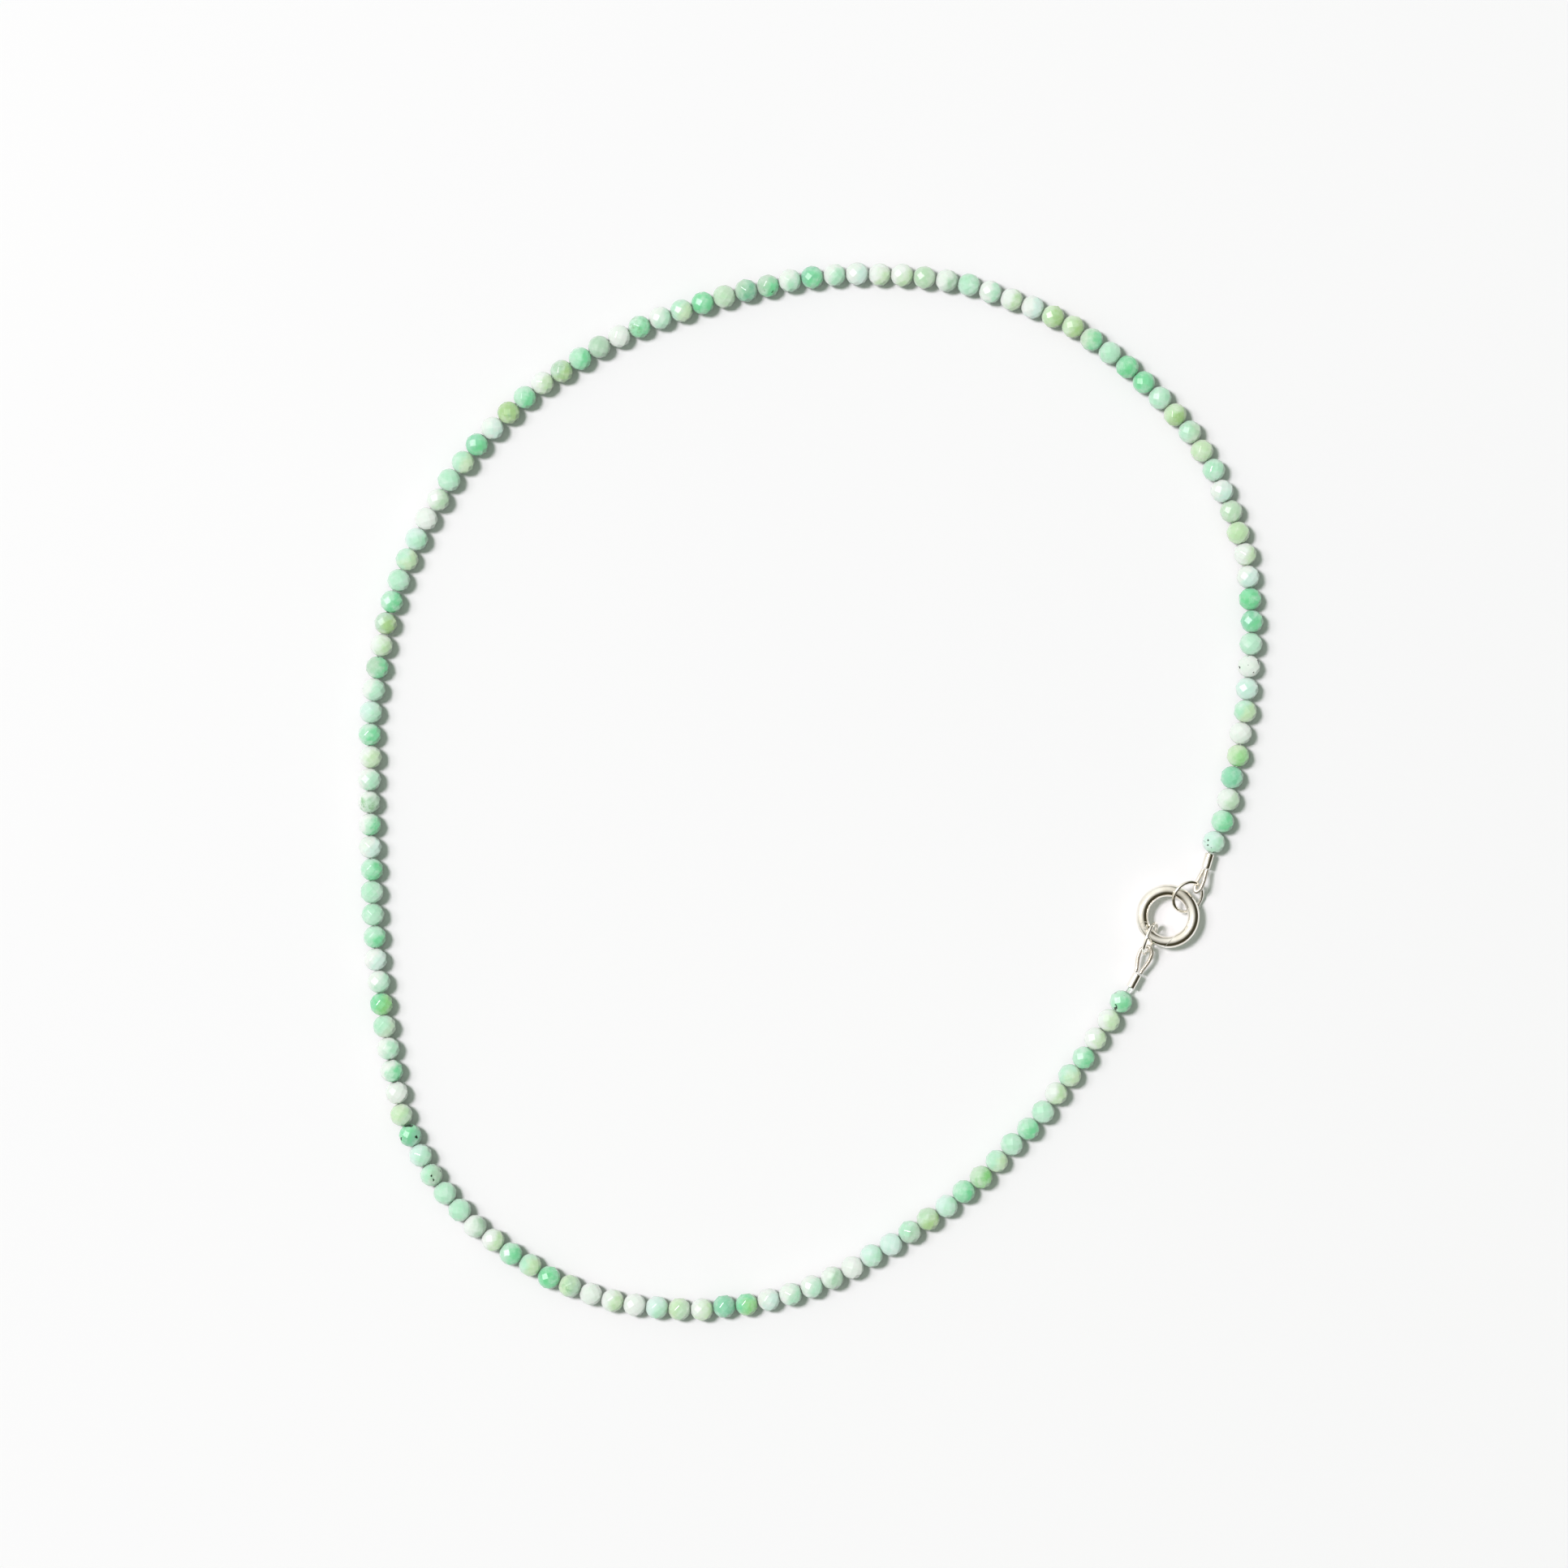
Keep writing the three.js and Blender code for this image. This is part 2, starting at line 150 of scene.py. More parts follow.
def noise(nodes, links, vector, scale, detail=3.0, rough=0.5):
    node = nodes.new("ShaderNodeTexNoise")
    node.inputs["Scale"].default_value = scale
    node.inputs["Detail"].default_value = detail
    node.inputs["Roughness"].default_value = rough
    links.new(vector, node.inputs["Vector"])
    return node.outputs["Fac"]


def ramp(nodes, links, value, low, high, start=0.0, end=1.0):
    node = nodes.new("ShaderNodeMapRange")
    node.inputs["From Min"].default_value = low
    node.inputs["From Max"].default_value = high
    node.inputs["To Min"].default_value = start
    node.inputs["To Max"].default_value = end
    links.new(value, node.inputs["Value"])
    return node.outputs["Result"]


def pattern(nodes, links, vector, scale, detail, rough, low, high):
    """Noise that goes from 0 where it is below low to 1 where it is above high."""
    return ramp(nodes, links, noise(nodes, links, vector, scale, detail, rough), low, high)


def mix(nodes, links, factor, first, second, kind="MIX"):
    node = nodes.new("ShaderNodeMix")
    node.data_type = "RGBA"
    node.blend_type = kind
    for name, value in (("Factor", factor), ("A", first), ("B", second)):
        socket = node.inputs[name]
        if isinstance(value, bpy.types.NodeSocket):
            links.new(value, socket)
        else:
            socket.default_value = value if isinstance(value, float) else (*value, 1)
    return node.outputs["Result"]


def times(nodes, links, first, second, kind="MULTIPLY"):
    """The product of two values, or another operation on them."""
    node = nodes.new("ShaderNodeMath")
    node.operation = kind
    links.new(first, node.inputs[0])
    if isinstance(second, bpy.types.NodeSocket):
        links.new(second, node.inputs[1])
    else:
        node.inputs[1].default_value = second
    return node.outputs["Value"]


# How far each facet's direction is drawn towards up, since light that spreads in the stone evens them out
EVENING = 2.4
# The stone's marks, how far its pale and deep places leave its shade, and how strongly they show
PALE_VEIN = srgb(0xF2F8F2)
STREAK = srgb(0x8DBB8C)
FLECK = srgb(0x26332A)
PALENESS = 0.55
DEPTH = 0.36
VEINS = 0.6
GRAIN = 0.35
# What is left of red, green and blue where the silver is dull, and how far it goes there
TARNISH = (0.82, 0.79, 0.71)
DULLNESS = 0.8


def bead_attribute(nodes, name):
    node = nodes.new("ShaderNodeAttribute")
    node.attribute_name = name
    return node


def stone_colour(nodes, links, here, marks_and_shade_side):
    """Two shades across the bead, the deeper one painted as shade on the side away from the lamps, with
    clouds, veins and grain, and with streaks and dark flecks on some.
    """
    paler = bead_attribute(nodes, "shade").outputs["Color"]
    deeper = bead_attribute(nodes, "second").outputs["Color"]
    # Painted shade: the marks' blue, with a little wander, puts the deeper shade on the side away from the
    # lamps and the paler one on the lit side
    wander = noise(nodes, links, here, scale=600, detail=2)
    painted_shade_blend = times(nodes, links, marks_and_shade_side.outputs["Blue"], wander, "ADD")
    tone = mix(nodes, links, ramp(nodes, links, painted_shade_blend, low=0.82, high=1.18), paler, deeper)
    pale = mix(nodes, links, PALENESS, tone, PALE_VEIN)
    deep = mix(nodes, links, DEPTH, tone, tone, "MULTIPLY")

    clouds = pattern(nodes, links, here, scale=420, detail=2, rough=0.5, low=0.38, high=0.62)
    veins = pattern(nodes, links, here, scale=900, detail=4, rough=0.55, low=0.48, high=0.74)
    grain = pattern(nodes, links, here, scale=2600, detail=2, rough=0.5, low=0.42, high=0.68)
    patches = pattern(nodes, links, here, scale=500, detail=1, rough=0.5, low=0.46, high=0.60)
    streaks = pattern(nodes, links, here, scale=1700, detail=3, rough=0.65, low=0.46, high=0.62)
    flecks = pattern(nodes, links, here, scale=1300, detail=2, rough=0.4, low=0.65, high=0.7)
    streaks = times(nodes, links, times(nodes, links, streaks, patches), marks_and_shade_side.outputs["Red"])
    flecks = times(nodes, links, flecks, marks_and_shade_side.outputs["Green"])

    body = mix(nodes, links, clouds, deep, tone)
    body = mix(nodes, links, times(nodes, links, veins, VEINS), body, pale)
    body = mix(nodes, links, times(nodes, links, grain, GRAIN), body, deep)
    body = mix(nodes, links, streaks, body, STREAK)
    return mix(nodes, links, flecks, body, FLECK)


def evened_normal(nodes, links):
    """The surface's own direction turned towards up, for the light that spreads in the stone."""
    facing = nodes.new("ShaderNodeNewGeometry").outputs["Normal"]
    level = nodes.new("ShaderNodeVectorMath")
    level.operation = "ADD"
    links.new(facing, level.inputs[0])
    level.inputs[1].default_value = UP * EVENING
    even = nodes.new("ShaderNodeVectorMath")
    even.operation = "NORMALIZE"
    links.new(level.outputs["Vector"], even.inputs[0])
    return even.outputs["Vector"]


def bumped_normal(nodes, links, height, strength, distance):
    bump = nodes.new("ShaderNodeBump")
    bump.inputs["Strength"].default_value = strength
    bump.inputs["Distance"].default_value = distance
    links.new(height, bump.inputs["Height"])
    return bump.outputs["Normal"]


def settings(shader, values):
    for name, value in values.items():
        shader.inputs[name].default_value = value


def stone_material():
    """Milky stone under a clear gloss. Each bead's shades and marks, and the side where its deeper shade is
    painted as shade, come from the mesh's own attributes.
    """
    mat, nodes, links, shader = material("bead_stone")
    place = nodes.new("ShaderNodeTexCoord").outputs["Object"]
    seed = nodes.new("ShaderNodeVectorMath")
    seed.operation = "ADD"
    links.new(place, seed.inputs[0])
    links.new(bead_attribute(nodes, "grain").outputs["Vector"], seed.inputs[1])
    here = seed.outputs["Vector"]
    marks_and_shade_side = nodes.new("ShaderNodeSeparateColor")
    links.new(bead_attribute(nodes, "marks").outputs["Color"], marks_and_shade_side.inputs["Color"])

    links.new(stone_colour(nodes, links, here, marks_and_shade_side), shader.inputs["Base Color"])
    links.new(evened_normal(nodes, links), shader.inputs["Normal"])
    ripple = noise(nodes, links, here, scale=3200, detail=2)
    normal = bumped_normal(nodes, links, ripple, strength=0.12, distance=0.02 * MM)
    links.new(normal, shader.inputs["Coat Normal"])
    settings(shader, {
        "Roughness": 0.5, "Specular IOR Level": 0.0,
        "Subsurface Weight": 0.4, "Subsurface Radius": (0.75, 1.0, 0.85), "Subsurface Scale": 3.0 * MM,
        "Subsurface Anisotropy": 0.75,
        "Coat Weight": 1.0, "Coat Roughness": 0.2, "Coat IOR": 1.6,
    })
    return mat


def silver_material(name, tint, rough, relief):
    """Polished silver with faint wipe marks and a duller, warmer tone in patches."""
    mat, nodes, links, shader = material(name)
    place = nodes.new("ShaderNodeTexCoord").outputs["Object"]
    tarnish = pattern(nodes, links, place, scale=420, detail=3, rough=0.5, low=0.45, high=0.7)
    warm = tuple(channel * share for channel, share in zip(tint, TARNISH))
    dull = times(nodes, links, tarnish, DULLNESS)
    links.new(mix(nodes, links, dull, tint, warm), shader.inputs["Base Color"])
    marks = noise(nodes, links, place, scale=2600, detail=4, rough=0.6)
    roughness = ramp(nodes, links, marks, low=0.3, high=0.75, start=rough * 0.7, end=rough * 1.5)
    links.new(roughness, shader.inputs["Roughness"])
    waves = noise(nodes, links, place, scale=1400)
    normal = bumped_normal(nodes, links, waves, strength=relief, distance=0.01 * MM)
    links.new(normal, shader.inputs["Normal"])
    settings(shader, {"Metallic": 1.0})
    return mat


def thread_material():
    """Clear thread, a little cloudy, with a touch of the stone's green."""
    mat, nodes, links, shader = material("clear_thread")
    place = nodes.new("ShaderNodeTexCoord").outputs["Object"]
    cloud = noise(nodes, links, place, scale=1800)
    links.new(mix(nodes, links, cloud, srgb(0xCDE2D0), srgb(0xE4F0E4)), shader.inputs["Base Color"])
    links.new(ramp(nodes, links, cloud, low=0.3, high=0.7, start=0.2, end=0.4), shader.inputs["Roughness"])
    settings(shader, {"Transmission Weight": 1.0, "IOR": 1.5})
    return mat


def floor_material():
    """Smooth white board."""
    mat, nodes, links, shader = material("white_board")
    place = nodes.new("ShaderNodeTexCoord").outputs["Object"]
    tone = noise(nodes, links, place, scale=6, detail=2)
    links.new(mix(nodes, links, tone, srgb(0xF5F5F5), srgb(0xF8F8F7)), shader.inputs["Base Color"])
    settings(shader, {"Roughness": 0.9, "Specular IOR Level": 0.1})
    return mat


STONE = stone_material()
SILVER = silver_material("polished_silver", srgb(0xFBF8F0), rough=0.1, relief=0.3)
COIL_SILVER = silver_material("wound_silver", srgb(0xF8F4EA), rough=0.34, relief=0.1)
THREAD = thread_material()


def add(name, mesh, body, mat, slot, *nodes):
    """A piece from a mesh that is already in place, standing for the CAD nodes given."""
    mesh.materials.append(mat)
    piece = bpy.data.objects.new(name, mesh)
    bpy.context.collection.objects.link(piece)
    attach(piece, body)
    if nodes:
        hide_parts(*nodes)
    return piece


def bevel(piece, width, segments, angle):
    """Rounds the edges of a piece that are sharper than the angle in degrees."""
    edges = piece.modifiers.new("edges", "BEVEL")
    edges.width = width
    edges.segments = segments
    edges.limit_method = "ANGLE"
    edges.angle_limit = math.radians(angle)
    return edges


# The route by length along it

def route_curve(samples=4000):
    """Points along the route and the length up to each, by the same curve as the CAD model's."""
    points = np.array(ROUTE)
    stops = np.vstack([2 * points[0] - points[1], points, 2 * points[-1] - points[-2]])
    u = np.linspace(0, len(points) - 1, samples + 1)
    i = np.minimum(u.astype(int), len(points) - 2)
    t = (u - i)[:, None]
    before, start, end, after = (stops[i + k] for k in range(4))
    m0, m1 = (end - before) / 2, (after - start) / 2
    curve = (start + m0 * t + (3 * (end - start) - 2 * m0 - m1) * t ** 2
             + (2 * (start - end) + m0 + m1) * t ** 3)
    curve = curve + np.array(SHIFT[:2])
    steps = np.linalg.norm(np.diff(curve, axis=0), axis=1)
    return curve, np.concatenate([[0], np.cumsum(steps)])


CURVE, LENGTHS = route_curve()
route_length = LENGTHS[-1]
bead_count = 2 * round(route_length / (BEAD_LENGTH + BEAD_PLAY) / 2)
pitch = route_length / bead_count
# How far before and after a point the route's direction is read
NEARBY = pitch / 20


def on_route(distance):
    """The route's point at that length, and its direction there."""
    point = [np.interp(distance, LENGTHS, CURVE[:, k]) for k in (0, 1)]
    low, high = max(distance - NEARBY, 0), min(distance + NEARBY, route_length)
    ahead = [np.interp(high, LENGTHS, CURVE[:, k]) - np.interp(low, LENGTHS, CURVE[:, k]) for k in (0, 1)]
    return Vector((*point, bead_height)), Vector((*ahead, 0)).normalized()


# Beads

# Shades of the stone
SHADES = {
    "ice": 0xE6F3E6, "aqua": 0xD2F0E0, "mint": 0xBCE8CA, "leaf": 0xC9E6BE, "sage": 0xC4E1C2,
    "sea": 0x96D6B2, "emerald": 0x8ADAA6, "grass": 0x9AD792, "teal": 0x8CC8A6, "olive": 0xB0D298,
    "slate": 0xBAD8BE,
}

# The beads from the upper crimp round to the lower one, one by one: the shades in each, with a star for
# one that flashes, a dot for dark flecks and a tilde for a grainy one
BEADS = """
aqua/mint. mint/emerald ice/sage sea leaf/grass ice leaf/mint aqua* ice. mint
sea/emerald* emerald ice/aqua* ice/leaf leaf sage* ice/aqua* mint leaf sage/mint*
olive/leaf mint* emerald* emerald mint sage/emerald~ olive/leaf* leaf/olive* ice/aqua leaf/ice
ice/mint* mint slate/ice sage* leaf/ice* leaf/ice ice/aqua* ice/mint sea/emerald* ice/mint
emerald/slate. slate/teal sage emerald* leaf/mint* ice/mint* emerald/mint~ ice slate emerald/mint
slate/olive~ leaf/ice emerald/mint olive~ ice/aqua emerald/sea* leaf/mint mint ice/sage* ice
aqua/mint mint/leaf mint emerald/mint* olive/slate* leaf/ice emerald/slate. ice/mint aqua/mint mint/emerald
leaf/ice ice/mint* ice/slate~ emerald/ice ice/aqua mint/emerald mint mint emerald/mint ice/aqua
ice/mint* grass/emerald sage/mint ice/mint ice/emerald* ice* leaf/sage emerald/teal*. aqua/mint mint/slate.
mint mint ice/slate leaf/ice* emerald/mint* leaf/mint emerald* slate/leaf~ ice ice/leaf
ice* aqua/mint leaf/sage leaf/ice* teal/sea emerald/grass ice/aqua ice/mint ice/mint* ice/slate
ice aqua/mint aqua slate/mint olive/sage mint/aqua emerald/mint grass/sage leaf/mint mint
emerald/mint mint leaf/ice leaf/mint emerald/mint* leaf/ice* ice/leaf emerald/mint*.
""".split()

# Where the two lamps stand. A bead that flashes has a facet that mirrors the first to the camera. The facets
# of other beads are turned away from that, and those of all beads from mirroring the second
FLASH_LAMP = Vector((-0.636, 0.187, 0.748))
SHADOW_LAMP = Vector((-0.41, 0.2, 0.83))
# How near a flashing facet is to mirroring a lamp, and how far off the others stay, as cosines
FLASH_NEAR = math.cos(math.radians(3.5))
FLASH_FAR = math.cos(math.radians(7))
# How many lies are tried for a bead, and how far they stray, in degrees
LIE_TRIES = 4000
LIE_SPREAD = 3
# The side of each bead where its deeper shade lies: painted shade, on the lower right away from the lamps,
# with the paler shade on the lit side
PAINTED_SHADE_SIDE = Vector((0.88, -0.47, 0))
FIRST_SEED = 9000
BEAD_SIZES = (0.99, 1.015)
BEAD_SWAY = 0.07 * MM
BEAD_BEVEL = 0.025 * MM
# How much of its streaks a grainy bead shows, and the most that any other does
GRAINY = 0.8
CLEAR = 0.12


def cut_circles(count):
    """Radius and height of each circle of corners on a unit sphere, from the girdle on, for flat facets."""
    half = math.pi / BEAD_SIDES
    circles = [Vector((1, 0)), Vector((math.cos(half), math.sin(half)))]
    while len(circles) < count:
        before, last = circles[-2:]
        across = Vector((last.x * math.cos(half), last.y)) - before
        circles.append(before + across * (-2 * before.dot(across) / across.length_squared))
    return circles


def bead_shape():
    """One bead along +Z: its corners, and its facets with the hole through it."""
    outermost = 4
    circles = cut_circles(outermost + 1)
    stretch = BEAD_LENGTH / math.sqrt(BEAD_DIAMETER ** 2 - DRILL_DIAMETER ** 2)
    # Each ring of corners: its height, its radius and its turn in steps. Every second one is half a step on
    rings = [(-BEAD_LENGTH / 2, DRILL_DIAMETER / 2, 0.5)]
    for place in range(-outermost, outermost + 1):
        r, z = circles[abs(place)] * (BEAD_DIAMETER / 2)
        rings.append((math.copysign(z, place) * stretch, r, 0 if place % 2 else 0.5))
    rings.append((BEAD_LENGTH / 2, DRILL_DIAMETER / 2, 0.5))
    corners = []
    for z, r, shift in rings:
        for i in range(BEAD_SIDES):
            turn = (i + shift) * 2 * math.pi / BEAD_SIDES
            corners.append(Vector((r * math.cos(turn), r * math.sin(turn), z)))

    def at(ring, i):
        return ring * BEAD_SIDES + i % BEAD_SIDES

    faces = []
    last = len(rings) - 1
    for i in range(BEAD_SIDES):
        for ring in range(2, last - 1):
            late = 1 if rings[ring][2] else 0
            faces.append((at(ring, i), at(ring - 1, i + late), at(ring, i + 1), at(ring + 1, i + late)))
        for ring, end in ((1, 0), (last - 1, last)):
            late = 1 if rings[ring][2] else 0
            towards = 1 if ring == 1 else -1
            side = (at(ring, i), at(ring, i + 1), at(ring + towards, i + late))
            cap = (at(ring, i), at(end, i), at(end, i + 1), at(ring, i + 1))
            faces += [side, cap] if ring == 1 else [side[::-1], cap[::-1]]
        faces.append((at(0, i), at(last, i), at(last, i + 1), at(0, i + 1)))
    return corners, faces


def facet_normals(corners, faces):
    """Outward directions of the facets that can flash, all but those at the ends and in the hole."""
    normals = []
    for face in faces:
        if len(face) < 4:
            continue
        a, b, c = (corners[k] for k in face[:3])
        normal = (b - a).cross(c - a).normalized()
        middle = sum((corners[k] for k in face), Vector()) / len(face)
        if normal.dot(middle) < 0:
            normal = -normal
        if abs(middle.z) < BEAD_DIAMETER / 3 and middle.to_2d().length > DRILL_DIAMETER:
            normals.append(normal)
    return normals


def lie_of_bead(chance, along, flashes, normals, to_camera):
    """A turn for a bead: along the thread, on a facet or an edge, with a facet that flashes or none.

    A bead for which no turn is found keeps the last one tried.
    """
    glints = [(lamp_way.normalized() + to_camera).normalized() for lamp_way in (FLASH_LAMP, SHADOW_LAMP)]
    base = along.to_track_quat("Z", "Y").to_matrix()
    step = math.pi / BEAD_SIDES
    for _ in range(LIE_TRIES):
        about = chance.randrange(2 * BEAD_SIDES) * step + math.radians(chance.gauss(0, LIE_SPREAD))
        roll = Matrix.Rotation(about, 3, "Z")
        lean = math.radians(chance.gauss(0, LIE_SPREAD))
        turn = base @ Matrix.Rotation(lean, 3, heading(chance.uniform(0, 360))) @ roll
        first, second = (max((turn @ normal).dot(glint) for normal in normals) for glint in glints)
        if second < FLASH_FAR and (first > FLASH_NEAR if flashes else first < FLASH_FAR):
            return turn
    return turn


def bead_shades(token):
    """The paler and the deeper shade of a bead, which are the same where it has only one."""
    names = token.strip("*.~").split("/")
    parts = sorted((srgb(SHADES[name]) for name in names), key=sum, reverse=True)
    return parts[0], parts[-1]


def beads(name, first, last, node):
    """One mesh of the beads from first to last, with each bead's own shades, seed and marks, and the side
    where its deeper shade is painted as shade.
    """
    corners, faces = bead_shape()
    normals = facet_normals(corners, faces)
    points, polygons, shades, seconds, grains, marks = [], [], [], [], [], []
    for index in range(first, last + 1):
        chance = random.Random(FIRST_SEED + index)
        token = BEADS[index % len(BEADS)]
        centre, along = on_route((index + 0.5) * pitch)
        centre += along.cross(UP) * chance.gauss(0, BEAD_SWAY)
        turn = lie_of_bead(chance, along, "*" in token, normals, (camera.location - centre).normalized())
        size = chance.uniform(*BEAD_SIZES)
        placed = [turn @ (p * size) for p in corners]
        centre.z = -min(p.z for p in placed)
        start = len(points)
        points += [centre + p for p in placed]
        polygons += [tuple(start + k for k in face) for face in faces]
        count = len(corners)
        paler, deeper = bead_shades(token)
        shades += [(*paler, 1)] * count
        seconds += [(*deeper, 1)] * count
        grains += [tuple(chance.uniform(-1, 1) for _ in range(3))] * count
        streaks = GRAINY if "~" in token else CLEAR * chance.random()
        flecks = 1.0 if "." in token else 0.0
        # The third mark is painted shade: how far each corner lies towards the side away from the lamps,
        # where the deeper shade goes
        marks += [(streaks, flecks, 0.5 + p.dot(PAINTED_SHADE_SIDE) / BEAD_DIAMETER, 1) for p in placed]
    mesh = bpy.data.meshes.new(name)
    mesh.from_pydata(points, [], polygons)
    for attribute, values in (("shade", shades), ("second", seconds), ("marks", marks)):
        mesh.attributes.new(attribute, "FLOAT_COLOR", "POINT").data.foreach_set("color", np.ravel(values))
    mesh.attributes.new("grain", "FLOAT_VECTOR", "POINT").data.foreach_set("vector", np.ravel(grains))
    piece = add(name, mesh, "root", STONE, "bead_stone", node)
    bevel(piece, BEAD_BEVEL, segments=1, angle=10)


# Tubes along a path

def tube(path, radius, sides, closed=False):
    """The points and faces of a round tube along a path, turned as little as can be on the way."""
    count = len(path)
    ahead = [(path[(i + 1) % count] - path[i - 1] if closed or 0 < i < count - 1
              else path[min(i + 1, count - 1)] - path[max(i - 1, 0)]).normalized() for i in range(count)]
    side = ahead[0].orthogonal().normalized()
    points, faces = [], []
    for i, (centre, forward) in enumerate(zip(path, ahead)):
        side = (side - forward * side.dot(forward)).normalized()
        other = forward.cross(side)
        for k in range(sides):
            turn = 2 * math.pi * k / sides
            points.append(centre + (side * math.cos(turn) + other * math.sin(turn)) * radius)
    for i in range(count if closed else count - 1):
        for k in range(sides):
            a, b = i * sides, (i + 1) % count * sides
            faces.append((a + k, a + (k + 1) % sides, b + (k + 1) % sides, b + k))
    if not closed:
        faces.append(tuple(reversed(range(sides))))
        faces.append(tuple((count - 1) * sides + k for k in range(sides)))
    return points, faces


def mesh_of(name, points, faces, smooth=True):
    mesh = bpy.data.meshes.new(name)
    mesh.from_pydata(points, [], faces)
    if smooth:
        mesh.shade_smooth()
    return mesh


# Thread, which shows between the beads and before the crimps

THREAD_STEPS = 400
THREAD_SIDES = 16


def crimp_place(end, outward, lead, turn):
    half, full = (Matrix.Rotation(math.radians(turn * share), 3, "Z") @ outward for share in (0.5, 1))
    entry = end + half * lead
    return dict(entry=entry, axis=full, mouth=entry + full * CRIMP_LENGTH)


upper_end, upper_way = on_route(0)
lower_end, lower_way = on_route(route_length)
upper_crimp = crimp_place(upper_end, -upper_way, UPPER_LEAD, UPPER_TURN)
lower_crimp = crimp_place(lower_end, lower_way, LOWER_LEAD, LOWER_TURN)


def thread(name, start, end, crimp_at_start=False, crimp_at_end=False):
    path = [on_route(start + (end - start) * i / THREAD_STEPS)[0] for i in range(THREAD_STEPS + 1)]
    if crimp_at_start:
        path = [upper_crimp["entry"] + upper_crimp["axis"] * THREAD_IN_CRIMP, upper_crimp["entry"]] + path
    if crimp_at_end:
        path += [lower_crimp["entry"], lower_crimp["entry"] + lower_crimp["axis"] * THREAD_IN_CRIMP]
    mesh = mesh_of(name, *tube(path, THREAD_DIAMETER / 2, THREAD_SIDES))
    add(name, mesh, "root", THREAD, "bead_stone")


# Crimps

CRIMP_RIM = 0.09 * MM
RIM_STEPS = 5
WALL_STEPS = 8
CRIMP_SIDES = 32
# How much flatter a crimp is where it is pressed, and how far from its middle that reaches
PRESSED = 0.05
PRESSED_REACH = 0.2


def crimp(name, place):
    """A short tube with rounded rims, pressed a little flat in its middle."""
    side = place["axis"].cross(UP)
    start, end = CRIMP_RIM, CRIMP_LENGTH - CRIMP_RIM
    outer, inner = CRIMP_DIAMETER / 2, CRIMP_BORE / 2
    walls = []
    for rim_s, rim_r, low, high in (
        (start, outer - CRIMP_RIM, 180, 90), (end, outer - CRIMP_RIM, 90, 0),
        (end, inner + CRIMP_RIM, 0, -90), (start, inner + CRIMP_RIM, -90, -180),
    ):
        for i in range(RIM_STEPS + 1):
            turn = math.radians(low + (high - low) * i / RIM_STEPS)
            walls.append((rim_s + CRIMP_RIM * math.cos(turn), rim_r + CRIMP_RIM * math.sin(turn)))
    after = RIM_STEPS + 1
    walls[after:after] = [(start + (end - start) * i / WALL_STEPS, outer) for i in range(1, WALL_STEPS)]
    points, faces = [], []
    for s, r in walls:
        from_middle = (s / CRIMP_LENGTH - 0.5) / PRESSED_REACH
        height = 1 - PRESSED * math.exp(-from_middle ** 2) if r > outer - CRIMP_RIM else 1
        for k in range(CRIMP_SIDES):
            turn = 2 * math.pi * k / CRIMP_SIDES
            out = side * math.cos(turn) * r + UP * math.sin(turn) * r * height
            points.append(place["entry"] + place["axis"] * s + out)
    rows = len(walls)
    for row in range(rows):
        for k in range(CRIMP_SIDES):
            a, b = row * CRIMP_SIDES, (row + 1) % rows * CRIMP_SIDES
            faces.append((a + k, b + k, b + (k + 1) % CRIMP_SIDES, a + (k + 1) % CRIMP_SIDES))
    add(name + "_tube", mesh_of(name, points, faces), "root", SILVER, "silver", name)


# The clasp

ROUNDING = 0.04 * MM
PIN_ROUNDING = 0.05 * MM


def solid(name, mesh):
    piece = bpy.data.objects.new(name, mesh)
    bpy.context.collection.objects.link(piece)
    return piece


def torus(tube_diameter, around=144, sides=40):
    path = [heading(360 * i / around) * clasp_radius for i in range(around)]
    return solid("torus", mesh_of("torus", *tube(path, tube_diameter / 2, sides, closed=True)))


def prism(outline, low, high):
    """An upright solid over an outline, whichever way round that runs."""
    count = len(outline)
    if sum(a.x * b.y - b.x * a.y for a, b in zip(outline, outline[1:] + outline[:1])) < 0:
        outline = outline[::-1]
    points = [Vector((p.x, p.y, z)) for z in (low, high) for p in outline]
    faces = [tuple(reversed(range(count))), tuple(range(count, 2 * count))]
    faces += [(k, (k + 1) % count, count + (k + 1) % count, count + k) for k in range(count)]
    return solid("prism", mesh_of("prism", points, faces, smooth=False))


hinge = heading(HINGE_ANGLE) * clasp_radius


def disc(diameter, height, sides=64):
    outline = [hinge + heading(360 * k / sides) * diameter / 2 for k in range(sides)]
    return prism(outline, -height / 2, height / 2)


def gate_zone(gap):
    """The stretch of the ring that the gate fills, from the hinge to the slanting cut."""
    inner = heading(CUT_INNER_ANGLE) * (clasp_radius - CLASP_TUBE / 2)
    outer = heading(CUT_OUTER_ANGLE) * (clasp_radius + CLASP_TUBE / 2)
    slant = (outer - inner).normalized()
    back = slant.cross(UP) * gap
    outline = [
        heading(HINGE_ANGLE) * (clasp_radius - CLASP_TUBE),
        inner - slant * CLASP_TUBE / 4 + back,
        outer + slant * CLASP_TUBE + back,
        heading((HINGE_ANGLE + CUT_OUTER_ANGLE) / 2) * CLASP_DIAMETER,
        heading(HINGE_ANGLE) * CLASP_DIAMETER,
    ]
    return prism(outline, -CLASP_TUBE, CLASP_TUBE)


